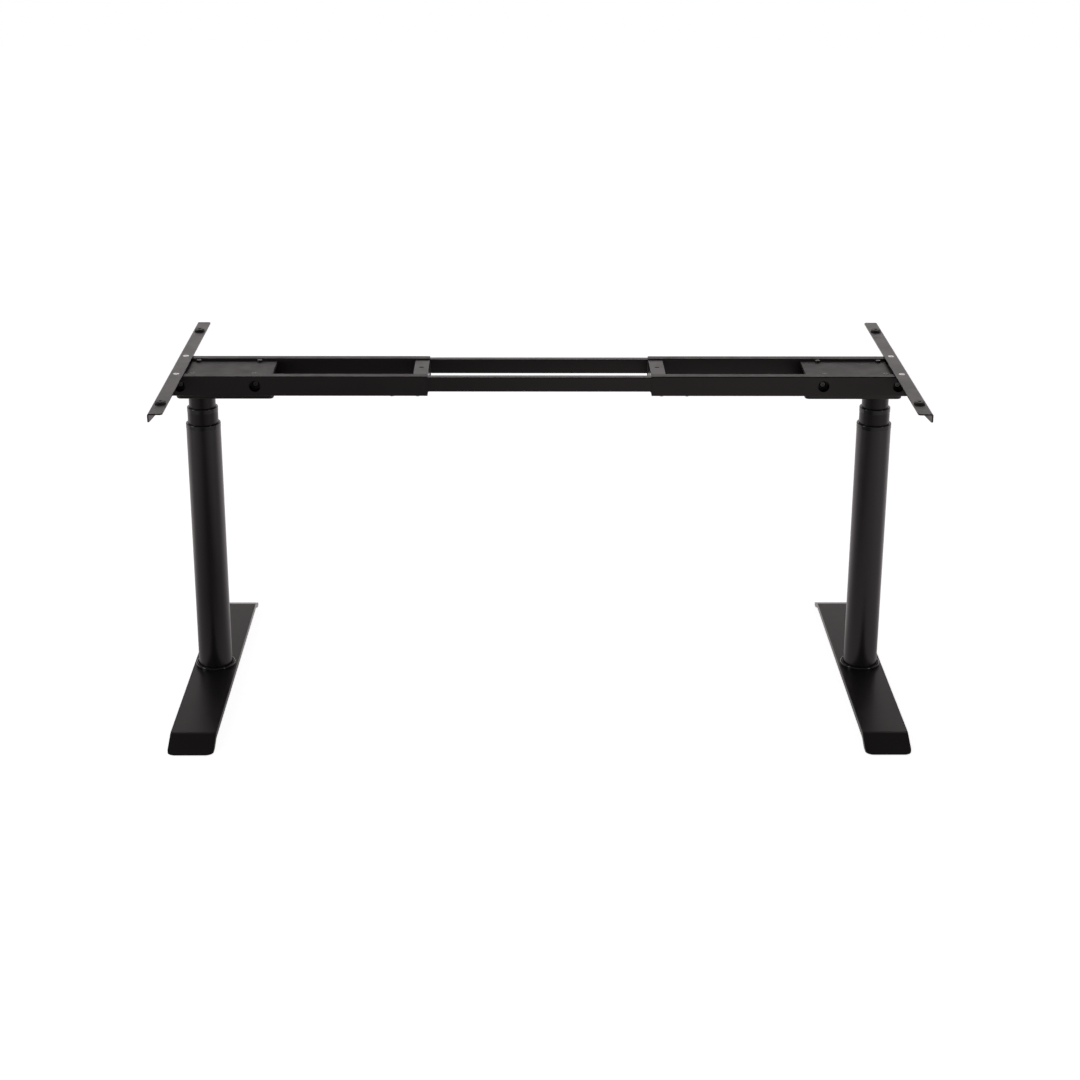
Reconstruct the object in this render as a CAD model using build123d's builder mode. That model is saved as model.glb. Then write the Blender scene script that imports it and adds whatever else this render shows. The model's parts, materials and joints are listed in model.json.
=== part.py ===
from build123d import *
import os
from math import atan2, sin

# Height adjustable desk frame: two feet, two three-stage round columns with a motor
# each, and a width-adjustable top frame. Millimetres, +Z up, X across the desk,
# -Y towards the user. The origin is on the floor, midway between the columns.
# The model stands at its lowest height, as the two stages show in the photograph.

# Whole frame
leg_spacing = 1225.0
frame_height = 606.5
stage_travel = 325.0
inner_show = 31.8
middle_show = 30.2

# Fits
slide_clearance = 0.3
seat_clearance = 0.1
running_clearance = 0.1
screw_clearance = 0.2

# Round columns
outer_tube_d = 62.4
middle_tube_d = 55.4
inner_tube_d = 48.4
tube_wall = 2.0
collar_band = 8.5
collar_proud = 0.5
collar_skirt = 64.0
collar_round = 1.5
base_plug = 8.0
glide_sleeve = 54.0
glide_floor = 6.0
stage_floor_gap = 2.0
base_ring_d = 74.0
base_ring_height = 6.0
base_ring_round = 2.5

# Lifting spindles inside each column
rod_d = 12.0
rod_spigot_d = 10.0
spindle_d = 20.0
spindle_bore = 14.0
spindle_flange_d = 28.0
spindle_flange = 4.0
spindle_seat = 10.0
lower_nut_d = 17.0
lower_nut_length = 20.0
upper_nut_d = 30.0
upper_nut_flange_d = 38.0
upper_nut_flange = 5.0
upper_nut_hub = 12.0
boss_height = 6.0
drive_tube_d = 29.0
drive_tube_bore = 22.0
key_width = 4.0
key_height = 1.5
key_head = 20.0
drive_socket = 18.0
spare_thread = 4.0

# Feet
foot_length = 717.0
foot_width = 81.0
foot_height = 21.0
foot_plate = 3.0
foot_slope = 53.0
foot_flange = 10.0
foot_lift = 2.0
foot_corner = 14.0
foot_bend = 18.0
foot_rib_spacing = 48.0
foot_rib_length = 420.0
foot_rib_depth = 9.0
leveller_spacing = 560.0
leveller_pad_d = 30.0
leveller_pad = 6.0
leveller_stem_d = 8.0
weld_nut_d = 16.0
weld_nut = 7.0
foot_screw_circle = 40.0

# Top frame rails
rail_height = 36.0
rail_depth = 20.0
rail_wall = 1.5
rail_round = 2.0
rail_gap = 100.0
rail_length = 457.2
inner_rail_length = 800.0
inner_rail_height = 26.5
inner_rail_wall = 1.5
inner_rail_round = 2.0
rail_side_clearance = 0.25
rail_top_clearance = 0.5
clamp_screw_inset = 18.0
clamp_screw_pitch = 46.0
clamp_nut = 5.0
clamp_nut_width = 12.0
clamp_head_d = 9.0
clamp_head = 2.8
clamp_head_round = 2.2
access_hole_d = 20.5
rail_bolt_inset = 18.7
rail_bolt_pitch = 134.0
rail_bolt_head_d = 12.0
rail_bolt_head = 4.0
rail_bolt_reach = 8.0

# Bridge between the rails at the inner end
bridge_width = 26.0
bridge_plate = 2.0
bridge_drop = 2.0
bridge_flange = 33.0
bridge_slot = 9.0
bridge_slot_width = 5.0

# Motor housing under the cover plate
housing_length = 174.0
housing_width = 130.0
housing_drop = 7.3
housing_plate = 2.0
housing_corner = 8.0
housing_round = 3.5
housing_end_gap = 8.2
lug_length = 16.0
lug_depth = 9.0
lug_thickness = 3.5
cover_plate = 1.5
cover_drop = 3.5
cover_end_inset = 3.5
cover_gap = 0.8
cover_lip = 6.0
cover_screw_inset = 13.3
cover_screw_pitch = 111.0
cover_screw_edge = 5.5
cover_screw_head_d = 9.5
cover_screw_head = 2.8
cover_screw_recess = 4.6
cover_screw_d = 4.0
cover_screw_length = 10.0

# Motor and gearbox
gearbox_length = 71.0
gearbox_width = 72.0
gearbox_round = 9.0
gearbox_headroom = 1.0
motor_d = 34.0
motor_length = 84.0
motor_collar_d = 26.0
motor_collar = 5.0
motor_tail_d = 20.0
motor_tail = 4.0

# Side brackets
bracket_length = 610.0
bracket_width = 25.4
bracket_plate = 2.5
bracket_depth = 36.0
bracket_end_depth = 15.5
bracket_straight = 240.0
bracket_corner = 5.0
bracket_overhang = 47.2
bracket_bend = 3.0
bracket_screw_head_d = 11.0
bracket_screw_recess = 5.4
bracket_flange_round = 4.0
pad_spacing = 482.0
pad_d = 19.0
pad_height = 3.5
pad_neck_d = 12.0
pad_under_d = 16.0
pad_under = 2.5
pad_bore = 5.5
pad_round = 1.2

# Machine screws
screw_d = 6.0
screw_head_d = 11.0
screw_head = 4.0
hex_socket = 4.0
hex_socket_depth = 2.0
cross_width = 1.1
cross_depth = 1.5

# Worked-out places
leg_x = leg_spacing / 2
outer_r = outer_tube_d / 2
outer_bore_r = outer_r - tube_wall
middle_r = middle_tube_d / 2
middle_bore_r = middle_r - tube_wall
inner_r = inner_tube_d / 2
inner_bore_r = inner_r - tube_wall
rail_bottom = frame_height - rail_height
rail_y = (rail_gap + rail_depth) / 2
rail_mid_z = frame_height - rail_height / 2
bracket_outer = leg_x + bracket_overhang
rail_outer_end = bracket_outer - bracket_plate
rail_inner_end = rail_outer_end - rail_length
clamp_mid_x = rail_inner_end + clamp_screw_inset + clamp_screw_pitch / 2
rail_bolt_mid_x = bracket_outer - rail_bolt_inset - rail_bolt_pitch / 2
housing_bottom = rail_bottom - housing_drop
housing_floor = housing_bottom + housing_plate
housing_outer_end = rail_outer_end - housing_end_gap
housing_inner_end = housing_outer_end - housing_length
cover_outer_end = bracket_outer - bracket_width
cover_screw_mid_x = cover_outer_end - cover_screw_inset - cover_screw_pitch / 2
cover_screw_y = rail_gap / 2 - cover_screw_edge
cover_top = frame_height - cover_drop
cover_under = cover_top - cover_plate
bracket_top = frame_height + bracket_plate
bracket_mid_x = bracket_outer - bracket_width / 2
middle_collar_top = housing_bottom - inner_show
outer_collar_top = middle_collar_top - middle_show
middle_tube_top = middle_collar_top - collar_band
outer_tube_top = outer_collar_top - collar_band
plug_top = foot_height + base_plug
middle_floor = plug_top + stage_floor_gap
middle_tube_bottom = middle_floor + glide_floor
spindle_bottom = middle_floor + stage_floor_gap
spindle_flange_z = middle_tube_bottom + running_clearance
spindle_seat_top = middle_tube_bottom + spindle_seat
inner_floor = spindle_seat_top + stage_floor_gap
inner_tube_bottom = inner_floor + glide_floor
upper_nut_flange_z = inner_tube_bottom + boss_height
upper_nut_top = upper_nut_flange_z + upper_nut_flange + upper_nut_hub
lower_nut_top = spindle_bottom + lower_nut_length
rod_top = lower_nut_top + stage_travel + spare_thread
key_bottom = upper_nut_top + stage_travel + 2 * spare_thread
spindle_top = key_bottom + key_head
drive_tube_bottom = upper_nut_top + spare_thread
drive_tube_top = housing_floor + drive_socket
inner_rail_depth = rail_depth - 2 * (rail_wall + rail_side_clearance)
inner_rail_top = frame_height - rail_wall - rail_top_clearance
inner_rail_bottom = inner_rail_top - inner_rail_height
gearbox_inner_end = housing_outer_end - housing_plate - gearbox_length
gearbox_top = cover_under - gearbox_headroom
motor_z = (housing_floor + cover_under) / 2
sides = {"left": -1, "right": 1}
rows = {"front": -1, "rear": 1}

os.makedirs("parts", exist_ok=True)


def save(part, name):
    """Labels a finished piece and writes it under its own name."""
    part.label = name
    export_step(part, f"parts/{name}.step")


def upright(x, z=0.0):
    """A level plane at height z on a column's centre line."""
    return Plane((x, 0, z))


def radial(x):
    """The plane through a column's centre line, with radius along X and height along Y."""
    return Plane((x, 0, 0), x_dir=(1, 0, 0), z_dir=(0, -1, 0))


def across(x):
    """A plane square to the rails, with Y along its X and height along its Y."""
    return Plane((x, 0, 0), x_dir=(0, 1, 0), z_dir=(1, 0, 0))


def column_axis(x):
    return Axis((x, 0, 0), (0, 0, 1))


def revolved(x, *points):
    """A turned piece on a column's centre line, from its (radius, height) outline."""
    with BuildPart() as turned:
        with BuildSketch(radial(x)):
            with BuildLine():
                Polyline(*points, close=True)
            make_face()
        revolve(axis=column_axis(x))
    return turned.part


# Foot: a pressed arch of plate with short side flanges, ribs and leveller nuts below
def foot_profile(length, drop):
    """The foot's side outline, or the same outline lowered, as points in Y and Z."""
    end = length / 2
    knee = end - foot_slope
    low = foot_lift - drop
    high = foot_height - drop
    return [(-end, low), (-knee, high), (knee, high), (end, low)]


def make_foot(name, x):
    slope_angle = atan2(foot_height - foot_lift, foot_slope)
    under = foot_height - foot_plate
    inner_end = foot_length / 2 - foot_plate / sin(slope_angle)
    inner_knee = inner_end - foot_slope * (under - foot_lift) / (foot_height - foot_lift)
    with BuildPart() as foot:
        with BuildSketch(across(x)) as arch:
            with BuildLine():
                Polyline(*foot_profile(foot_length, 0), close=True)
            make_face()
            fillet(arch.vertices().sort_by(Axis.Y)[-2:], foot_bend)
        extrude(amount=foot_width / 2, both=True)
        with BuildSketch(upright(x)):
            RectangleRounded(foot_width, foot_length, foot_corner)
        extrude(amount=foot_height, mode=Mode.INTERSECT)
        with BuildSketch(across(x)) as hollow:
            with BuildLine():
                Polyline(
                    (-inner_end, foot_lift),
                    (-inner_knee, under),
                    (inner_knee, under),
                    (inner_end, foot_lift),
                    close=True,
                )
            make_face()
            fillet(hollow.vertices().sort_by(Axis.Y)[-2:], foot_bend - foot_plate)
        extrude(amount=foot_width / 2 - foot_plate, both=True, mode=Mode.SUBTRACT)
        with BuildSketch(across(x)) as clear_below:
            with BuildLine():
                Polyline(*foot_profile(foot_length, foot_flange), close=True)
            make_face()
            fillet(clear_below.vertices().sort_by(Axis.Y)[-2:], foot_bend)
        extrude(amount=foot_width / 2, both=True, mode=Mode.SUBTRACT)
        with BuildSketch(upright(x, under)):
            with GridLocations(foot_rib_spacing, 0, 2, 1):
                Rectangle(foot_plate, foot_rib_length)
            with GridLocations(0, leveller_spacing, 1, 2):
                Circle(weld_nut_d / 2)
        extrude(amount=-weld_nut)
        with Locations(upright(x, under - weld_nut)):
            with GridLocations(0, leveller_spacing, 1, 2):
                stem_hole = leveller_stem_d / 2 + seat_clearance
                Cylinder(
                    stem_hole,
                    weld_nut,
                    align=(Align.CENTER, Align.CENTER, Align.MIN),
                    mode=Mode.SUBTRACT,
                )
        with Locations(upright(x, foot_height)):
            with PolarLocations(foot_screw_circle / 2, 4, 45):
                Hole(screw_d / 2 + screw_clearance, foot_plate)
    save(foot.part, f"{name}_foot")


def make_levellers(name, x):
    with BuildPart() as levellers:
        with BuildSketch(upright(x)):
            with GridLocations(0, leveller_spacing, 1, 2):
                Circle(leveller_pad_d / 2)
        extrude(amount=leveller_pad)
        chamfer(levellers.edges().group_by(Axis.Z)[-1], leveller_pad / 3)
        with BuildSketch(upright(x, leveller_pad)):
            with GridLocations(0, leveller_spacing, 1, 2):
                Circle(leveller_stem_d / 2)
        extrude(amount=foot_height - foot_plate - leveller_pad)
    save(levellers.part, f"{name}_levellers")


def make_foot_screws(name, x):
    under = foot_height - foot_plate
    with BuildPart() as screws:
        with BuildSketch(upright(x, under)):
            with PolarLocations(foot_screw_circle / 2, 4, 45):
                Circle(screw_head_d / 2)
        extrude(amount=-screw_head)
        with BuildSketch(upright(x, under)):
            with PolarLocations(foot_screw_circle / 2, 4, 45):
                Circle(screw_d / 2)
        extrude(amount=foot_plate + base_plug)
        with BuildSketch(upright(x, under - screw_head)):
            with PolarLocations(foot_screw_circle / 2, 4, 45):
                RegularPolygon(hex_socket / 2, 6, major_radius=False)
        extrude(amount=hex_socket_depth, mode=Mode.SUBTRACT)
    save(screws.part, f"{name}_foot_screws")


# Column: three tubes, with a plastic collar at each mouth and a glide on each foot
def make_outer_tube(name, x):
    with BuildPart() as tube:
        with BuildSketch(upright(x, foot_height)):
            Circle(outer_r)
            Circle(outer_bore_r, mode=Mode.SUBTRACT)
        extrude(amount=outer_tube_top - foot_height)
        with BuildSketch(upright(x, foot_height)):
            Circle(outer_bore_r)
            Circle(rod_spigot_d / 2 + seat_clearance, mode=Mode.SUBTRACT)
            with PolarLocations(foot_screw_circle / 2, 4, 45):
                Circle(screw_d / 2 + seat_clearance, mode=Mode.SUBTRACT)
        extrude(amount=base_plug)
    save(tube.part, f"{name}_outer_tube")


def make_base_ring(name, x):
    with BuildPart() as ring:
        with BuildSketch(upright(x, foot_height)):
            Circle(base_ring_d / 2)
            Circle(outer_r + seat_clearance, mode=Mode.SUBTRACT)
        extrude(amount=base_ring_height)
        fillet(ring.edges().group_by(Axis.Z)[-1], base_ring_round)
    save(ring.part, f"{name}_base_ring")


def make_collar(name, x, tube_r, bore_r, slider_r, top):
    """A mouth collar: a rounded band on the tube's end and a liner skirt inside it."""
    mouth = slider_r + slide_clearance
    skirt = bore_r - seat_clearance
    seat = top - collar_band
    with BuildPart() as collar:
        with BuildSketch(radial(x)):
            with BuildLine():
                Polyline(
                    (mouth, seat - collar_skirt),
                    (skirt, seat - collar_skirt),
                    (skirt, seat),
                    (tube_r + collar_proud, seat),
                    (tube_r + collar_proud, top),
                    (mouth, top),
                    close=True,
                )
            make_face()
        revolve(axis=column_axis(x))
        rim = collar.edges().group_by(Axis.Z)[-1].sort_by(SortBy.RADIUS)[-1]
        fillet(rim, collar_round)
    save(collar.part, name)


def make_middle_tube(name, x):
    with BuildPart() as tube:
        with BuildSketch(upright(x, middle_tube_bottom)):
            Circle(middle_r)
            Circle(middle_bore_r, mode=Mode.SUBTRACT)
        extrude(amount=middle_tube_top - middle_tube_bottom)
    save(tube.part, f"{name}_middle_tube")


def make_inner_tube(name, x):
    top_plug = housing_bottom - base_plug
    with BuildPart() as tube:
        with BuildSketch(upright(x, inner_tube_bottom)):
            Circle(inner_r)
            Circle(inner_bore_r, mode=Mode.SUBTRACT)
        extrude(amount=housing_bottom - inner_tube_bottom)
        with BuildSketch(upright(x, top_plug)):
            Circle(inner_bore_r)
            Circle(drive_tube_d / 2 + running_clearance, mode=Mode.SUBTRACT)
        extrude(amount=base_plug)
    save(tube.part, f"{name}_inner_tube")


def make_middle_glide(name, x):
    """End plug and sleeve of the middle tube, with the spindle's bearing seat."""
    sleeve_r = outer_bore_r - slide_clearance
    tube_seat = middle_r + seat_clearance
    boss_r = middle_bore_r - seat_clearance
    flange_r = spindle_flange_d / 2 + running_clearance
    hole_r = spindle_d / 2 + running_clearance
    part = revolved(
        x,
        (hole_r, middle_floor),
        (sleeve_r, middle_floor),
        (sleeve_r, middle_tube_bottom + glide_sleeve),
        (tube_seat, middle_tube_bottom + glide_sleeve),
        (tube_seat, middle_tube_bottom),
        (boss_r, middle_tube_bottom),
        (boss_r, spindle_seat_top),
        (flange_r, spindle_seat_top),
        (flange_r, middle_tube_bottom),
        (hole_r, middle_tube_bottom),
    )
    save(part, f"{name}_middle_glide")


def make_inner_glide(name, x):
    """End plug and sleeve of the inner tube, bored for the upper nut."""
    sleeve_r = middle_bore_r - slide_clearance
    tube_seat = inner_r + seat_clearance
    boss_r = inner_bore_r - seat_clearance
    nut_r = upper_nut_d / 2 + seat_clearance
    part = revolved(
        x,
        (nut_r, inner_floor),
        (sleeve_r, inner_floor),
        (sleeve_r, inner_tube_bottom + glide_sleeve),
        (tube_seat, inner_tube_bottom + glide_sleeve),
        (tube_seat, inner_tube_bottom),
        (boss_r, inner_tube_bottom),
        (boss_r, upper_nut_flange_z),
        (nut_r, upper_nut_flange_z),
    )
    save(part, f"{name}_inner_glide")


# Lifting spindles: a fixed rod, a turning hollow screw and the motor's drive tube
def make_fixed_rod(name, x):
    part = revolved(
        x,
        (0, foot_height),
        (rod_spigot_d / 2, foot_height),
        (rod_spigot_d / 2, plug_top),
        (rod_d / 2, plug_top),
        (rod_d / 2, rod_top),
        (0, rod_top),
    )
    save(part, f"{name}_fixed_rod")


def make_hollow_screw(name, x):
    screw_r = spindle_d / 2
    pocket_r = lower_nut_d / 2 + seat_clearance
    flange_top = spindle_flange_z + spindle_flange
    key_reach = drive_tube_bore / 2 + key_height - running_clearance
    with BuildPart() as screw:
        with BuildSketch(radial(x)):
            with BuildLine():
                Polyline(
                    (pocket_r, spindle_bottom),
                    (screw_r, spindle_bottom),
                    (screw_r, spindle_flange_z),
                    (spindle_flange_d / 2, spindle_flange_z),
                    (spindle_flange_d / 2, flange_top),
                    (screw_r, flange_top),
                    (screw_r, spindle_top),
                    (spindle_bore / 2, spindle_top),
                    (spindle_bore / 2, lower_nut_top),
                    (pocket_r, lower_nut_top),
                    close=True,
                )
            make_face()
        revolve(axis=column_axis(x))
        with BuildSketch(upright(x, key_bottom)):
            Circle(drive_tube_bore / 2 - running_clearance)
            Rectangle(2 * key_reach, key_width - 2 * running_clearance)
            Circle(spindle_bore / 2, mode=Mode.SUBTRACT)
        extrude(amount=key_head)
    save(screw.part, f"{name}_hollow_screw")


def make_lower_nut(name, x):
    with BuildPart() as nut:
        with BuildSketch(upright(x, spindle_bottom)):
            Circle(lower_nut_d / 2)
            Circle(rod_d / 2 + running_clearance, mode=Mode.SUBTRACT)
        extrude(amount=lower_nut_length)
    save(nut.part, f"{name}_lower_nut")


def make_upper_nut(name, x):
    bore = spindle_d / 2 + running_clearance
    flange_top = upper_nut_flange_z + upper_nut_flange
    part = revolved(
        x,
        (bore, inner_floor),
        (upper_nut_d / 2, inner_floor),
        (upper_nut_d / 2, upper_nut_flange_z),
        (upper_nut_flange_d / 2, upper_nut_flange_z),
        (upper_nut_flange_d / 2, flange_top),
        (upper_nut_d / 2, flange_top),
        (upper_nut_d / 2, upper_nut_top),
        (bore, upper_nut_top),
    )
    save(part, f"{name}_upper_nut")


def make_drive_tube(name, x):
    key_slot = drive_tube_bore + 2 * key_height
    with BuildPart() as tube:
        with BuildSketch(upright(x, drive_tube_bottom)):
            Circle(drive_tube_d / 2)
            Circle(drive_tube_bore / 2, mode=Mode.SUBTRACT)
            Rectangle(key_slot, key_width, mode=Mode.SUBTRACT)
        extrude(amount=drive_tube_top - drive_tube_bottom)
    save(tube.part, f"{name}_drive_tube")


# Gearbox over the column, and the motor lying beside it
def make_gearbox(name, x, side):
    mid_x = side * (gearbox_inner_end + gearbox_length / 2)
    with BuildPart() as gearbox:
        with BuildSketch(Plane((mid_x, 0, housing_floor))):
            RectangleRounded(gearbox_length, gearbox_width, gearbox_round)
        extrude(amount=gearbox_top - housing_floor)
        fillet(gearbox.edges().group_by(Axis.Z)[-1], collar_round)
        with BuildSketch(upright(x, housing_floor)):
            Circle(drive_tube_d / 2 + running_clearance)
        extrude(amount=drive_socket, mode=Mode.SUBTRACT)
    save(gearbox.part, f"{name}_gearbox")


def make_motor(name, side):
    face_x = side * gearbox_inner_end
    steps = [(motor_collar_d, motor_collar), (motor_d, motor_length), (motor_tail_d, motor_tail)]
    with BuildPart() as motor:
        start = 0.0
        for diameter, length in steps:
            with BuildSketch(across(face_x - side * start)):
                with Locations((0, motor_z)):
                    Circle(diameter / 2)
            extrude(amount=-side * length)
            start += length
        body_rims = motor.edges().filter_by(GeomType.CIRCLE).group_by(SortBy.RADIUS)[-1]
        fillet(body_rims, collar_round)
    save(motor.part, f"{name}_motor")


# Motor housing: a shallow pan under the rails with two walls up between them
def make_housing(name, x, side):
    mid_x = side * (housing_inner_end + housing_length / 2)
    wall_y = rail_gap / 2 - housing_plate / 2
    lug_y = rail_gap / 2 - housing_plate - lug_depth / 2
    bolt_x = side * rail_bolt_mid_x
    screw_x = side * cover_screw_mid_x
    with BuildPart() as housing:
        with BuildSketch(Plane((mid_x, 0, housing_bottom))):
            RectangleRounded(housing_length, housing_width, housing_corner)
        extrude(amount=housing_drop)
        fillet(housing.edges().group_by(Axis.Z)[0], housing_round)
        with BuildSketch(Plane((mid_x, 0, housing_floor))):
            RectangleRounded(
                housing_length - 2 * housing_plate,
                housing_width - 2 * housing_plate,
                housing_corner - housing_plate,
            )
        extrude(amount=housing_drop, mode=Mode.SUBTRACT)
        with BuildSketch(Plane((mid_x, 0, housing_floor))):
            with GridLocations(0, 2 * wall_y, 1, 2):
                Rectangle(housing_length - 2 * housing_corner, housing_plate)
        extrude(amount=cover_under - housing_floor)
        with BuildSketch(Plane((screw_x, 0, cover_under))):
            with GridLocations(cover_screw_pitch, 2 * lug_y, 2, 2):
                Rectangle(lug_length, lug_depth)
            with GridLocations(cover_screw_pitch, 2 * cover_screw_y, 2, 2):
                Circle(cover_screw_d / 2 + seat_clearance, mode=Mode.SUBTRACT)
        extrude(amount=-lug_thickness)
        with BuildSketch(upright(x, housing_bottom)):
            Circle(drive_tube_d / 2 + running_clearance)
        extrude(amount=housing_plate, mode=Mode.SUBTRACT)
        with BuildSketch(Plane((bolt_x, 0, rail_mid_z), x_dir=(1, 0, 0), z_dir=(0, -1, 0))):
            with GridLocations(rail_bolt_pitch, 0, 2, 1):
                Circle(screw_d / 2 + screw_clearance)
        extrude(amount=rail_gap / 2, both=True, mode=Mode.SUBTRACT)
    save(housing.part, f"{name}_motor_housing")


def make_cover(name, side):
    inner_end = housing_inner_end + cover_end_inset
    length = cover_outer_end - inner_end
    mid_x = side * (inner_end + length / 2)
    screw_x = side * cover_screw_mid_x
    width = rail_gap - 2 * cover_gap
    lip_x = side * (inner_end + cover_plate / 2)
    lip_width = rail_gap - 2 * (housing_plate + cover_gap)
    with BuildPart() as cover:
        with BuildSketch(Plane((mid_x, 0, cover_under))):
            Rectangle(length, width)
        extrude(amount=cover_plate)
        with BuildSketch(Plane((lip_x, 0, cover_top))):
            Rectangle(cover_plate, lip_width)
        extrude(amount=-cover_lip)
        with Locations(Plane((screw_x, 0, cover_top))):
            with GridLocations(cover_screw_pitch, 2 * cover_screw_y, 2, 2):
                Hole(cover_screw_d / 2 + seat_clearance, cover_plate)
    save(cover.part, f"{name}_cover_plate")


def make_cover_screws(name, side):
    screw_x = side * cover_screw_mid_x
    with BuildPart() as screws:
        with BuildSketch(Plane((screw_x, 0, cover_top))):
            with GridLocations(cover_screw_pitch, 2 * cover_screw_y, 2, 2):
                Circle(cover_screw_head_d / 2)
        extrude(amount=cover_screw_head)
        fillet(screws.edges().group_by(Axis.Z)[-1], cover_screw_head / 2)
        with BuildSketch(Plane((screw_x, 0, cover_top))):
            with GridLocations(cover_screw_pitch, 2 * cover_screw_y, 2, 2):
                Circle(cover_screw_d / 2)
        extrude(amount=-cover_screw_length)
        with BuildSketch(Plane((screw_x, 0, cover_top + cover_screw_head))):
            with GridLocations(cover_screw_pitch, 2 * cover_screw_y, 2, 2):
                Rectangle(cover_screw_recess, cross_width)
                Rectangle(cross_width, cover_screw_recess)
        extrude(amount=-cross_depth, mode=Mode.SUBTRACT)
    save(screws.part, f"{name}_cover_screws")


# Rails: a front and a rear box section each side, telescoping over the inner rails
def make_outer_rail(name, side, row):
    length = rail_outer_end - rail_inner_end
    y = row * rail_y
    wall_y = row * (rail_y + rail_depth / 2)
    bolt_x = side * rail_bolt_mid_x
    clamp_x = side * clamp_mid_x
    clamp_floor = rail_bottom + rail_wall
    outward = Plane((bolt_x, wall_y, rail_mid_z), x_dir=(1, 0, 0), z_dir=(0, row, 0))
    with BuildPart() as rail:
        with BuildSketch(across(side * rail_inner_end)):
            with Locations((y, rail_mid_z)):
                RectangleRounded(rail_depth, rail_height, rail_round)
                RectangleRounded(
                    rail_depth - 2 * rail_wall,
                    rail_height - 2 * rail_wall,
                    rail_round - rail_wall,
                    mode=Mode.SUBTRACT,
                )
        extrude(amount=side * length)
        with BuildSketch(Plane((clamp_x, y, clamp_floor))):
            with GridLocations(clamp_screw_pitch, 0, 2, 1):
                Rectangle(clamp_nut_width, rail_depth - 2 * rail_wall)
        extrude(amount=clamp_nut)
        with BuildSketch(Plane((clamp_x, y, rail_bottom))):
            with GridLocations(clamp_screw_pitch, 0, 2, 1):
                Circle(screw_d / 2 + seat_clearance)
        extrude(amount=rail_wall + clamp_nut, mode=Mode.SUBTRACT)
        with Locations(outward):
            with GridLocations(rail_bolt_pitch, 0, 2, 1):
                Hole(access_hole_d / 2, rail_wall)
                Hole(screw_d / 2 + screw_clearance, rail_depth)
        with Locations(Plane((side * bracket_mid_x, y, frame_height))):
            Hole(screw_d / 2 + screw_clearance, rail_wall)
    save(rail.part, name)


def make_inner_rail(name, row):
    mid_z = (inner_rail_top + inner_rail_bottom) / 2
    with BuildPart() as rail:
        with BuildSketch(Plane.YZ):
            with Locations((row * rail_y, mid_z)):
                RectangleRounded(inner_rail_depth, inner_rail_height, inner_rail_round)
                RectangleRounded(
                    inner_rail_depth - 2 * inner_rail_wall,
                    inner_rail_height - 2 * inner_rail_wall,
                    inner_rail_round - inner_rail_wall,
                    mode=Mode.SUBTRACT,
                )
        extrude(amount=inner_rail_length / 2, both=True)
    save(rail.part, name)


def make_clamp_screws(name, side):
    clamp_x = side * clamp_mid_x
    with BuildPart() as screws:
        with BuildSketch(Plane((clamp_x, 0, rail_bottom))):
            with GridLocations(clamp_screw_pitch, 2 * rail_y, 2, 2):
                Circle(clamp_head_d / 2)
        extrude(amount=-clamp_head)
        fillet(screws.edges().group_by(Axis.Z)[0], clamp_head_round)
        with BuildSketch(Plane((clamp_x, 0, rail_bottom - clamp_head))):
            with GridLocations(clamp_screw_pitch, 2 * rail_y, 2, 2):
                RegularPolygon(hex_socket / 2, 6, major_radius=False)
        extrude(amount=hex_socket_depth, mode=Mode.SUBTRACT)
        with BuildSketch(Plane((clamp_x, 0, rail_bottom))):
            with GridLocations(clamp_screw_pitch, 2 * rail_y, 2, 2):
                Circle(screw_d / 2)
        extrude(amount=inner_rail_bottom - slide_clearance - rail_bottom)
    save(screws.part, f"{name}_clamp_screws")


def make_rail_bolts(name, side):
    bolt_x = side * rail_bolt_mid_x
    seat = rail_gap / 2 + rail_wall
    with BuildPart() as bolts:
        for row in rows.values():
            head_plane = Plane((bolt_x, row * seat, rail_mid_z), x_dir=(1, 0, 0), z_dir=(0, row, 0))
            with BuildSketch(head_plane):
                with GridLocations(rail_bolt_pitch, 0, 2, 1):
                    Circle(rail_bolt_head_d / 2)
            extrude(amount=rail_bolt_head)
            with BuildSketch(head_plane):
                with GridLocations(rail_bolt_pitch, 0, 2, 1):
                    Circle(screw_d / 2)
            extrude(amount=-(rail_wall + rail_bolt_reach))
        crowns = bolts.faces().sort_by(Axis.Y)
        fillet((crowns[:2] + crowns[-2:]).edges(), rail_bolt_head / 2)
        for row in rows.values():
            crown_y = row * (seat + rail_bolt_head)
            crown = Plane((bolt_x, crown_y, rail_mid_z), x_dir=(1, 0, 0), z_dir=(0, row, 0))
            with BuildSketch(crown):
                with GridLocations(rail_bolt_pitch, 0, 2, 1):
                    RegularPolygon(hex_socket / 2, 6, major_radius=False)
            extrude(amount=-hex_socket_depth, mode=Mode.SUBTRACT)
    save(bolts.part, f"{name}_rail_bolts")


def make_bridge(name, side):
    mid_x = side * (rail_inner_end + bridge_width / 2)
    top = frame_height - bridge_drop
    with BuildPart() as bridge:
        with BuildSketch(Plane((mid_x, 0, top))):
            Rectangle(bridge_width, rail_gap)
        extrude(amount=-bridge_flange)
        with BuildSketch(Plane((mid_x, 0, top - bridge_plate))):
            Rectangle(bridge_width - 2 * bridge_plate, rail_gap)
        extrude(amount=-bridge_flange, mode=Mode.SUBTRACT)
        outer_folds = bridge.edges().filter_by(Axis.Y).group_by(Axis.Z)[-1]
        fillet(outer_folds, bridge_plate / 2)
        with BuildSketch(Plane((mid_x, 0, top))):
            SlotOverall(bridge_slot, bridge_slot_width)
        extrude(amount=-bridge_plate, mode=Mode.SUBTRACT)
    save(bridge.part, f"{name}_bridge")


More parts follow.
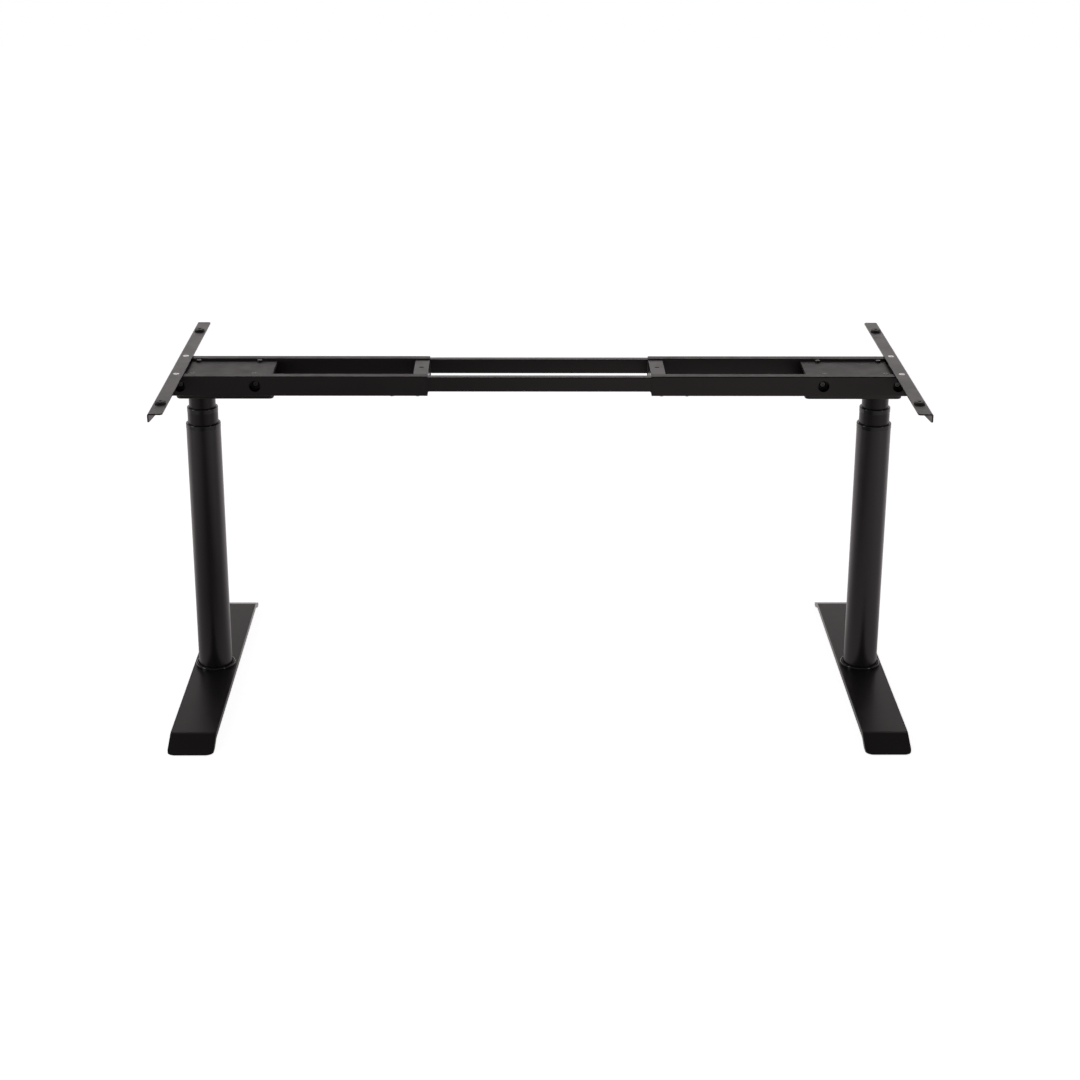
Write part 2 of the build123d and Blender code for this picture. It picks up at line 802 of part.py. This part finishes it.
# Side bracket: an angle across the rail ends, deep in the middle and shallow at its ends
def make_bracket(name, side):
    half = bracket_length / 2
    straight = bracket_straight / 2
    deep = bracket_top - bracket_depth
    shallow = bracket_top - bracket_end_depth
    with BuildPart() as bracket:
        with BuildSketch(Plane((side * bracket_mid_x, 0, frame_height))):
            Rectangle(bracket_width, bracket_length)
        extrude(amount=bracket_plate)
        corner_side = bracket.edges().filter_by(Axis.Z).group_by(Axis.X)
        fillet(corner_side[0 if side > 0 else -1], bracket_corner)
        with BuildSketch(across(side * rail_outer_end)):
            with BuildLine():
                Polyline(
                    (-half, bracket_top),
                    (-half, shallow),
                    (-straight, deep),
                    (straight, deep),
                    (half, shallow),
                    (half, bracket_top),
                    close=True,
                )
            make_face()
        extrude(amount=side * bracket_plate)
        flange_ends = bracket.edges().filter_by(Axis.X).group_by(SortBy.LENGTH)[0].sort_by(Axis.Z)
        end_corners = flange_ends.filter_by_position(Axis.Z, shallow - 0.1, shallow + 0.1)
        fillet(end_corners, bracket_flange_round)
        fold = bracket.edges().filter_by(Axis.Y).group_by(Axis.Z)[-1].sort_by(Axis.X)
        fillet(fold[-1 if side > 0 else 0], bracket_bend)
        with Locations(Plane((side * bracket_mid_x, 0, bracket_top))):
            with GridLocations(0, 2 * rail_y, 1, 2):
                CounterSinkHole(
                    screw_d / 2 + screw_clearance,
                    bracket_screw_head_d / 2 + seat_clearance,
                    bracket_plate,
                    90,
                )
            with GridLocations(0, pad_spacing, 1, 2):
                Hole(pad_neck_d / 2 + seat_clearance, bracket_plate)
    save(bracket.part, f"{name}_side_bracket")


def make_bracket_screws(name, side):
    head_r = bracket_screw_head_d / 2
    cone = head_r - screw_d / 2
    with BuildPart() as screws:
        with BuildSketch(Plane((side * bracket_mid_x, 0, bracket_top - cone))):
            with GridLocations(0, 2 * rail_y, 1, 2):
                Circle(screw_d / 2)
        extrude(amount=-(2 * rail_wall + bracket_plate))
        with Locations(Plane((side * bracket_mid_x, 0, bracket_top - cone))):
            with GridLocations(0, 2 * rail_y, 1, 2):
                Cone(screw_d / 2, head_r, cone, align=(Align.CENTER, Align.CENTER, Align.MIN))
        with BuildSketch(Plane((side * bracket_mid_x, 0, bracket_top))):
            with GridLocations(0, 2 * rail_y, 1, 2):
                Rectangle(bracket_screw_recess, cross_width)
                Rectangle(cross_width, bracket_screw_recess)
        extrude(amount=-cross_depth, mode=Mode.SUBTRACT)
    save(screws.part, f"{name}_bracket_screws")


def make_pads(name, side):
    with BuildPart() as pads:
        with BuildSketch(Plane((side * bracket_mid_x, 0, bracket_top))):
            with GridLocations(0, pad_spacing, 1, 2):
                Circle(pad_d / 2)
        extrude(amount=pad_height)
        fillet(pads.edges().group_by(Axis.Z)[-1], pad_round)
        with BuildSketch(Plane((side * bracket_mid_x, 0, bracket_top))):
            with GridLocations(0, pad_spacing, 1, 2):
                Circle(pad_neck_d / 2)
        extrude(amount=-bracket_plate)
        with BuildSketch(Plane((side * bracket_mid_x, 0, frame_height))):
            with GridLocations(0, pad_spacing, 1, 2):
                Circle(pad_under_d / 2)
        extrude(amount=-pad_under)
        with Locations(Plane((side * bracket_mid_x, 0, bracket_top + pad_height))):
            with GridLocations(0, pad_spacing, 1, 2):
                Hole(pad_bore / 2, pad_height + bracket_plate + pad_under)
    save(pads.part, f"{name}_rubber_pads")


for side_name, side in sides.items():
    column_x = side * leg_x
    make_foot(side_name, column_x)
    make_levellers(side_name, column_x)
    make_foot_screws(side_name, column_x)
    make_outer_tube(side_name, column_x)
    make_base_ring(side_name, column_x)
    make_collar(
        f"{side_name}_outer_collar", column_x, outer_r, outer_bore_r, middle_r, outer_collar_top
    )
    make_middle_tube(side_name, column_x)
    make_collar(
        f"{side_name}_middle_collar", column_x, middle_r, middle_bore_r, inner_r, middle_collar_top
    )
    make_middle_glide(side_name, column_x)
    make_inner_tube(side_name, column_x)
    make_inner_glide(side_name, column_x)
    make_fixed_rod(side_name, column_x)
    make_hollow_screw(side_name, column_x)
    make_lower_nut(side_name, column_x)
    make_upper_nut(side_name, column_x)
    make_drive_tube(side_name, column_x)
    make_gearbox(side_name, column_x, side)
    make_motor(side_name, side)
    make_housing(side_name, column_x, side)
    make_cover(side_name, side)
    make_cover_screws(side_name, side)
    for row_name, row in rows.items():
        make_outer_rail(f"{side_name}_{row_name}_outer_rail", side, row)
    make_bridge(side_name, side)
    make_bracket(side_name, side)
    make_bracket_screws(side_name, side)
    make_pads(side_name, side)
    make_clamp_screws(side_name, side)
    make_rail_bolts(side_name, side)

for row_name, row in rows.items():
    make_inner_rail(f"{row_name}_inner_rail", row)
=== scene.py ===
import json
import math

import bmesh
import bpy
from mathutils import Matrix, Vector


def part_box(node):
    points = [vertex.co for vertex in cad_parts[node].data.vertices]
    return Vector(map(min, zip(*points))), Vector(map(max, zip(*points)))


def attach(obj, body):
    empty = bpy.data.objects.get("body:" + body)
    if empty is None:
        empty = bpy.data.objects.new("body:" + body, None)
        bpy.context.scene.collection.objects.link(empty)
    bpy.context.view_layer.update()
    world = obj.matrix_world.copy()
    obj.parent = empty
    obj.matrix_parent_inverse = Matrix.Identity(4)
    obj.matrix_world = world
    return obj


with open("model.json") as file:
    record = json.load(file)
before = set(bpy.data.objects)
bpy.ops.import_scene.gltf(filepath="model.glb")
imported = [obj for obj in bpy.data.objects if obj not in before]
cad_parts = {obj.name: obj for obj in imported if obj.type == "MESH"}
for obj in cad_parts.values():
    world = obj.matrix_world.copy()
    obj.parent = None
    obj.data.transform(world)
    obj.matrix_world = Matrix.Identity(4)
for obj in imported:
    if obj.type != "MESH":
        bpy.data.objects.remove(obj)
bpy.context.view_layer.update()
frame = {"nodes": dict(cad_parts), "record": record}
nodes = frame["nodes"]
scene = bpy.context.scene


def step(tree, kind, sockets, result=0):
    """Adds one node, with each socket linked or set, and returns one of its outputs."""
    node = tree.nodes.new(kind)
    for name, value in sockets.items():
        if isinstance(value, bpy.types.NodeSocket):
            tree.links.new(value, node.inputs[name])
        else:
            node.inputs[name].default_value = value
    return node.outputs[result]


# Materials
def noise(tree, coords, scale, detail, roughness=0.5):
    return step(tree, "ShaderNodeTexNoise", {
        "Vector": coords, "Scale": scale, "Detail": detail, "Roughness": roughness,
    }, "Fac")


def ramp(tree, factor, low, high, start=0.35, end=0.65):
    """Turns a noise into a range of greys or colours."""
    node = tree.nodes.new("ShaderNodeValToRGB")
    node.color_ramp.elements[0].position = start
    node.color_ramp.elements[1].position = end
    for element, value in zip(node.color_ramp.elements, (low, high)):
        colour = value if isinstance(value, tuple) else (value, value, value)
        element.color = (*colour, 1.0)
    tree.links.new(factor, node.inputs["Fac"])
    return node.outputs["Color"]


def grained(name, colours, roughness, drift, gloss_drift, grain, strength, depth):
    """A surface whose colour and gloss drift slowly, with a fine grain. Noises are scale and detail."""
    material = bpy.data.materials.new(name)
    material.use_nodes = True
    tree = material.node_tree
    shader = tree.nodes["Principled BSDF"]
    coords = step(tree, "ShaderNodeTexCoord", {}, "Object")
    shade = ramp(tree, noise(tree, coords, *drift), *colours)
    gloss = ramp(tree, noise(tree, coords, *gloss_drift), *roughness)
    bump = step(tree, "ShaderNodeBump", {
        "Strength": strength, "Distance": depth, "Height": noise(tree, coords, *grain),
    })
    tree.links.new(shade, shader.inputs["Base Color"])
    tree.links.new(gloss, shader.inputs["Roughness"])
    tree.links.new(bump, shader.inputs["Normal"])
    return material, shader.inputs


coat_sheen, tube_sheen = (1.0, 0.915, 0.93), (1.0, 0.94, 1.0)


def powder_coat(name, dark, light, rough_low, rough_high, sheen=coat_sheen, level=0.5):
    """Matt black powder coat with fine orange peel."""
    material, sockets = grained(
        name, (dark, light), (rough_low, rough_high),
        drift=(9, 3), gloss_drift=(35, 4), grain=(1400, 2, 0.6), strength=0.05, depth=0.0002,
    )
    sockets["Specular Tint"].default_value = (*sheen, 1.0)
    sockets["Specular IOR Level"].default_value = level
    return material


def moulded_plastic(name, colour, rough_low, rough_high, strength):
    lighter = tuple(channel * 1.35 for channel in colour)
    return grained(
        name, (colour, lighter), (rough_low, rough_high),
        drift=(22, 3), gloss_drift=(60, 3), grain=(2200, 1), strength=strength, depth=0.0001,
    )[0]


def plated_metal(name, colour, rough_low, rough_high):
    darker = tuple(channel * 0.82 for channel in colour)
    material, sockets = grained(
        name, (darker, colour), (rough_low, rough_high),
        drift=(320, 4), gloss_drift=(500, 3), grain=(900, 2), strength=0.12, depth=0.0001,
    )
    sockets["Metallic"].default_value = 1.0
    return material


coat_dark, coat_light = (0.0126, 0.0109, 0.0112), (0.0158, 0.0137, 0.0140)
rail_dark, rail_light = (0.0090, 0.0078, 0.0080), (0.0112, 0.0098, 0.0100)
tube_dark, tube_light = (0.0058, 0.0054, 0.0055), (0.0072, 0.0067, 0.0068)
looks = {
    "powder_coat": powder_coat("black_powder_coat", coat_dark, coat_light, 0.285, 0.33),
    "tube_coat": powder_coat("satin_tube_coat", tube_dark, tube_light, 0.28, 0.315, tube_sheen, 0.60),
    # The middle and inner tubes take a copy of the tube coat with a lower specular level: painted shade,
    # since they sit in shade under the rails.
    "slide_coat": powder_coat("shaded_satin_tube_coat", tube_dark, tube_light, 0.28, 0.315, tube_sheen, 0.34),
    "rail_coat": powder_coat("satin_rail_coat", rail_dark, rail_light, 0.36, 0.42),
    "cover_coat": powder_coat("matt_cover_coat", coat_dark, coat_light, 0.37, 0.43),
    "gloss_trim": moulded_plastic("smooth_black_trim", (0.008, 0.008, 0.008), 0.07, 0.12, 0.03),
    "collar_plastic": moulded_plastic("black_collar_plastic", (0.007, 0.007, 0.007), 0.10, 0.15, 0.03),
    "guide_plastic": moulded_plastic("natural_guide_plastic", (0.62, 0.60, 0.54), 0.40, 0.50, 0.1),
    "glide_plastic": moulded_plastic("black_glide_plastic", (0.014, 0.014, 0.014), 0.45, 0.55, 0.15),
    "zinc_screw": plated_metal("zinc_plate", (0.80, 0.82, 0.85), 0.14, 0.22),
    "black_screw": plated_metal("blackened_steel", (0.075, 0.073, 0.072), 0.14, 0.22),
    "bright_steel": plated_metal("oiled_steel", (0.52, 0.52, 0.53), 0.22, 0.32),
    "nut_brass": plated_metal("machined_brass", (0.78, 0.58, 0.26), 0.22, 0.32),
    "drive_aluminium": plated_metal("drawn_aluminium", (0.74, 0.74, 0.75), 0.30, 0.40),
    "gearbox_cast": plated_metal("cast_aluminium", (0.52, 0.52, 0.53), 0.45, 0.58),
    "motor_steel": plated_metal("plated_motor_can", (0.30, 0.30, 0.31), 0.28, 0.38),
    "pad_rubber": moulded_plastic("black_rubber", (0.020, 0.0190, 0.0187), 0.34, 0.42, 0.08),
}


# Finish of each solid, and the rounding of its pressed edges, by the ending of its name
own_finish = {
    # The middle and inner tubes get the dimmer copy of the tube coat, as painted shade under the rails.
    "outer_tube": "tube_coat", "middle_tube": "slide_coat", "inner_tube": "slide_coat",
    "outer_rail": "rail_coat", "cover_plate": "cover_coat",
}
eased_edges = {
    "foot": 0.0012, "bridge": 0.0007, "side_bracket": 0.0005, "motor_housing": 0.0006,
    "outer_rail": 0.0004, "inner_rail": 0.0004, "rubber_pads": 0.0003,
}
edge_angle, edge_steps, weld_reach, flat_weight = math.radians(40), 3, 0.00001, 100


def by_ending(table, name, otherwise=None):
    return next((value for ending, value in table.items() if name.endswith(ending)), otherwise)


slots = {entry["node"]: entry["material_slot"] for entry in frame["record"]["subparts"]}
for node_name, node in nodes.items():
    node.data.materials.clear()
    node.data.materials.append(looks[by_ending(own_finish, node_name, slots[node_name])])
    edge_width = by_ending(eased_edges, node_name)
    if edge_width:
        weld = node.modifiers.new("weld", "WELD")
        weld.merge_threshold = weld_reach
        bevel = node.modifiers.new("eased_edges", "BEVEL")
        bevel.width = edge_width
        bevel.segments = edge_steps
        bevel.limit_method = "ANGLE"
        bevel.angle_limit = edge_angle
        level = node.modifiers.new("level_flats", "WEIGHTED_NORMAL")
        level.keep_sharp = True
        level.weight = flat_weight


# Repeated detail: grip ribs and threads on the levelling feet, weld beads on the bridges
def node_tree(name, sizes):
    tree = bpy.data.node_groups.new(name, "GeometryNodeTree")
    for size, kind in sizes.items():
        tree.interface.new_socket(size, in_out="INPUT", socket_type="NodeSocket" + kind)
    tree.interface.new_socket("Geometry", in_out="OUTPUT", socket_type="NodeSocketGeometry")
    return tree, tree.nodes.new("NodeGroupInput").outputs


def joined(tree, *shapes):
    node = tree.nodes.new("GeometryNodeJoinGeometry")
    for shape in shapes:
        tree.links.new(shape, node.inputs[0])
    return node.outputs[0]


def close_tree(tree, shape, finish):
    real = step(tree, "GeometryNodeRealizeInstances", {"Geometry": shape})
    real = step(tree, "GeometryNodeSetShadeSmooth", {"Geometry": real})
    dressed = step(tree, "GeometryNodeSetMaterial", {"Geometry": real, "Material": looks[finish]})
    tree.links.new(dressed, tree.nodes.new("NodeGroupOutput").inputs[0])


def grown_mesh(tree, sizes):
    """Runs a tree with these sizes and returns the result as a plain mesh."""
    holder = bpy.data.objects.new("holder", bpy.data.meshes.new("holder"))
    scene.collection.objects.link(holder)
    grow = holder.modifiers.new("grow", "NODES")
    grow.node_group = tree
    for item in tree.interface.items_tree:
        if item.in_out == "INPUT":
            grow[item.identifier] = sizes[item.name]
    seen = bpy.context.evaluated_depsgraph_get()
    mesh = bpy.data.meshes.new_from_object(holder.evaluated_get(seen))
    bpy.data.objects.remove(holder)
    return mesh


def rigid_piece(name, mesh, body):
    piece = bpy.data.objects.new(name, mesh)
    scene.collection.objects.link(piece)
    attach(piece, body)


def leveller_tree():
    tree, size = node_tree("leveller_detail", {
        "Middle": "Vector", "Spacing": "Vector", "Pad Radius": "Float", "Pad Height": "Float",
        "Rib Count": "Int", "Rib Radius": "Float", "Thread Turns": "Float", "Thread Radius": "Float",
        "Thread Height": "Float", "Thread Depth": "Float", "Thread Start": "Vector", "Pad Middle": "Vector",
    })
    rim = step(tree, "GeometryNodeMeshCircle", {"Vertices": size["Rib Count"], "Radius": size["Pad Radius"]})
    rib = step(tree, "GeometryNodeMeshCylinder", {
        "Vertices": 8, "Radius": size["Rib Radius"], "Depth": size["Pad Height"],
    })
    ribs = step(tree, "GeometryNodeInstanceOnPoints", {"Points": rim, "Instance": rib})
    ribs = step(tree, "GeometryNodeTransform", {"Geometry": ribs, "Translation": size["Pad Middle"]})
    helix = step(tree, "GeometryNodeCurveSpiral", {
        "Resolution": 24, "Rotations": size["Thread Turns"], "Start Radius": size["Thread Radius"],
        "End Radius": size["Thread Radius"], "Height": size["Thread Height"],
    })
    ridge = step(tree, "GeometryNodeCurvePrimitiveCircle", {"Resolution": 6, "Radius": size["Thread Depth"]})
    thread = step(tree, "GeometryNodeCurveToMesh", {
        "Curve": helix, "Profile Curve": ridge, "Fill Caps": True,
    })
    thread = step(tree, "GeometryNodeTransform", {"Geometry": thread, "Translation": size["Thread Start"]})
    feet = step(tree, "GeometryNodeMeshLine", {
        "Count": 2, "Start Location": size["Middle"], "Offset": size["Spacing"],
    })
    close_tree(tree, step(tree, "GeometryNodeInstanceOnPoints", {
        "Points": feet, "Instance": joined(tree, ribs, thread),
    }), "glide_plastic")
    return tree


def weld_tree():
    tree, size = node_tree("weld_beads", {
        "Start": "Vector", "End": "Vector", "Bead Count": "Int", "Bead Radius": "Float", "Seed": "Int",
    })
    seam = step(tree, "GeometryNodeCurvePrimitiveLine", {"Start": size["Start"], "End": size["End"]})
    spots = step(tree, "GeometryNodeCurveToPoints", {"Curve": seam, "Count": size["Bead Count"]})
    bead = step(tree, "GeometryNodeMeshIcoSphere", {"Radius": size["Bead Radius"], "Subdivisions": 2})
    uneven = tree.nodes.new("FunctionNodeRandomValue")
    uneven.data_type = "FLOAT"
    uneven.inputs["Min"].default_value = 0.85
    uneven.inputs["Max"].default_value = 1.1
    tree.links.new(size["Seed"], uneven.inputs["Seed"])
    close_tree(tree, step(tree, "GeometryNodeInstanceOnPoints", {
        "Points": spots, "Instance": bead, "Scale": uneven.outputs["Value"],
    }), "powder_coat")
    return tree


def merged(meshes, name, finish):
    """One mesh from several that share a finish."""
    whole = bmesh.new()
    for mesh in meshes:
        whole.from_mesh(mesh)
    for face in whole.faces:
        face.material_index = 0
    result = bpy.data.meshes.new(name)
    whole.to_mesh(result)
    whole.free()
    result.materials.append(looks[finish])
    return result


leveller_detail = leveller_tree()
weld_beads = weld_tree()
pad_height, stem_radius, pitch = 0.006, 0.004, 0.00125
rib_sink, thread_sink = 0.0003, 0.0001
seam_foot, seam_head = 0.002, 0.004
for side in ("left", "right"):
    low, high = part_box(f"{side}_levellers")
    column_x = (low.x + high.x) / 2
    pad_radius = (high.x - low.x) / 2
    foot_reach = high.y - pad_radius
    thread_height = high.z - pad_height - pitch
    rigid_piece(f"{side}_leveller_detail", grown_mesh(leveller_detail, {
        "Middle": (column_x, -foot_reach, 0), "Spacing": (0, 2 * foot_reach, 0),
        "Pad Radius": pad_radius - rib_sink, "Pad Height": pad_height * 0.7,
        "Pad Middle": (0, 0, pad_height * 0.5), "Rib Count": 36, "Rib Radius": 0.0009,
        "Thread Turns": thread_height / pitch, "Thread Radius": stem_radius - thread_sink,
        "Thread Height": thread_height, "Thread Depth": 0.0003,
        "Thread Start": (0, 0, pad_height + pitch / 2),
    }), f"{side}_levellers")
    low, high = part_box(f"{side}_bridge")
    seams = []
    for seam_x in (low.x, high.x):
        for seam_y in (low.y, high.y):
            seams.append(grown_mesh(weld_beads, {
                "Start": (seam_x, seam_y, low.z + seam_foot), "End": (seam_x, seam_y, high.z - seam_head),
                "Bead Count": 26, "Bead Radius": 0.0017, "Seed": len(seams),
            }))
    bridge_welds = merged(seams, "bridge_welds", "powder_coat")
    rigid_piece(f"{side}_bridge_welds", bridge_welds, f"{side}_top")


# Floor and studio
def grey(level):
    return (level, level, level, 1)


def along(tree, place, axis):
    return step(tree, "ShaderNodeSeparateXYZ", {"Vector": place}, axis)


def brightness_band(tree, place, reach, stops):
    """Greys along one direction, from (place between -reach and reach, brightness) stops."""
    spread = step(tree, "ShaderNodeMapRange", {"Value": place, "From Min": -reach, "From Max": reach})
    band = tree.nodes.new("ShaderNodeValToRGB")
    for stop, _ in stops[2:]:
        band.color_ramp.elements.new((stop / reach + 1) / 2)
    for element, (stop, bright) in zip(band.color_ramp.elements, stops):
        element.position = (stop / reach + 1) / 2
        element.color = grey(bright)
    tree.links.new(spread, band.inputs["Fac"])
    return band.outputs["Color"]


def blend(tree, kind, first, second):
    """Mixes a colour with another one, or with a fixed tint."""
    node = tree.nodes.new("ShaderNodeMix")
    node.data_type = "RGBA"
    node.blend_type = kind
    node.inputs["Factor"].default_value = 1.0
    tree.links.new(first, node.inputs["A"])
    if isinstance(second, tuple):
        node.inputs["B"].default_value = (*second, 1)
    else:
        tree.links.new(second, node.inputs["B"])
    return node.outputs["Result"]


def for_rays(tree, ray, otherwise, special):
    """One shader for this kind of ray, and another for all the rest."""
    kind = step(tree, "ShaderNodeLightPath", {}, ray)
    return step(tree, "ShaderNodeMixShader", {"Fac": kind, 1: otherwise, 2: special})


def finish_tree(tree, kind, surface):
    tree.links.new(surface, tree.nodes.new(kind).inputs["Surface"])


room_tint = (1.0, 0.94, 0.94)

# Floor: white to the camera, mid grey to the light, and in reflections bright at the back and sides
floor_mesh = bpy.data.meshes.new("floor")
floor_mesh.from_pydata([(-9, -7, 0), (9, -7, 0), (9, 9, 0), (-9, 9, 0)], [], [(0, 1, 2, 3)])
floor = bpy.data.objects.new("floor", floor_mesh)
scene.collection.objects.link(floor)
floor_look = bpy.data.materials.new("pale_floor")
floor_look.use_nodes = True
floor_tree = floor_look.node_tree
floor_tree.nodes.clear()
floor_place = step(floor_tree, "ShaderNodeTexCoord", {}, "Object")
floor_back = brightness_band(
    floor_tree, along(floor_tree, floor_place, "Y"), 2.0,
    [(-2.0, 0.15), (-1.0, 0.07), (-0.45, 0.10), (0.0, 0.45), (0.4, 1.0)],
)
floor_side = brightness_band(
    floor_tree, along(floor_tree, floor_place, "X"), 2.0,
    [(-1.6, 0.50), (-0.9, 0.18), (-0.45, 0.0), (0.1, 0.36), (0.8, 0.48), (1.6, 0.62)],
)
floor_shade = blend(floor_tree, "LIGHTEN", floor_back, floor_side)
floor_shade = blend(floor_tree, "MULTIPLY", floor_shade, room_tint)
floor_mirrored = step(floor_tree, "ShaderNodeEmission", {"Color": floor_shade})
floor_bounce = step(floor_tree, "ShaderNodeBsdfDiffuse", {"Color": grey(0.30)})
floor_seen = step(floor_tree, "ShaderNodeAddShader", {
    0: step(floor_tree, "ShaderNodeBsdfDiffuse", {"Color": grey(0.93)}),
    1: step(floor_tree, "ShaderNodeEmission", {"Strength": 0.88}),
})
floor_unseen = for_rays(floor_tree, "Is Glossy Ray", floor_bounce, floor_mirrored)
floor_whole = for_rays(floor_tree, "Is Camera Ray", floor_unseen, floor_seen)
finish_tree(floor_tree, "ShaderNodeOutputMaterial", floor_whole)
floor_mesh.materials.append(floor_look)

# Studio: white to the camera, and round the object a bright low wall behind and a dim room
world = bpy.data.worlds.new("studio")
scene.world = world
world.use_nodes = True
sky = world.node_tree
sky.nodes.clear()
sky_place = step(sky, "ShaderNodeTexCoord", {}, "Generated")
wall = brightness_band(sky, along(sky, sky_place, "Z"), 1.0, [
    (-0.25, 0.25), (0.0, 0.86), (0.28, 0.86), (0.34, 0.02), (0.50, 0.02),
    (0.57, 0.18), (0.63, 0.26), (0.72, 0.26), (0.79, 0.02),
])
back = brightness_band(sky, along(sky, sky_place, "Y"), 1.0, [(-0.25, 0.42), (0.45, 1.0)])
room_light = blend(sky, "MULTIPLY", blend(sky, "MULTIPLY", wall, back), room_tint)
room = step(sky, "ShaderNodeBackground", {"Color": room_light, "Strength": 1.33})
white = step(sky, "ShaderNodeBackground", {"Color": grey(1)})
sky_whole = for_rays(sky, "Is Camera Ray", room, white)
finish_tree(sky, "ShaderNodeOutputWorld", sky_whole)


def softbox(name, place, target, width, height, power):
    light = bpy.data.lights.new(name, "AREA")
    light.shape = "RECTANGLE"
    light.size = width
    light.size_y = height
    light.energy = power
    lamp = bpy.data.objects.new(name, light)
    scene.collection.objects.link(lamp)
    lamp.location = place
    lamp.rotation_euler = (Vector(target) - Vector(place)).to_track_quat("-Z", "Y").to_euler()


sun = bpy.data.lights.new("overhead", "SUN")
sun.energy = 0.10
sun.angle = math.radians(110)
overhead = bpy.data.objects.new("overhead", sun)
scene.collection.objects.link(overhead)
overhead.rotation_euler = (math.radians(-22), 0, 0)
softbox("left_fill", (-4.0, -1.4, 1.2), (0, 0, 0.4), 1.2, 2.4, 24)
softbox("right_strip", (4.5, -3.6, 0.65), (0, 0, 0.3), 1.0, 1.6, 18)

# Camera at the photograph's place
camera_data = bpy.data.cameras.new("camera")
camera_data.sensor_width = 36.0
camera_data.lens = 71.862
camera_data.clip_end = 60.0
camera = bpy.data.objects.new("camera", camera_data)
scene.collection.objects.link(camera)
camera_place = Vector((-0.03706, -3.76830, 1.66289))
right = Vector((0.999952, -0.009224, 0.003338))
down = Vector((-0.0000647, -0.346444, -0.938071))
forward = Vector((0.009810, 0.938025, -0.346428))
turn = Matrix((right, -down, -forward)).transposed().to_4x4()
camera.matrix_world = Matrix.Translation(camera_place) @ turn
scene.camera = camera

scene.view_settings.view_transform = "Standard"
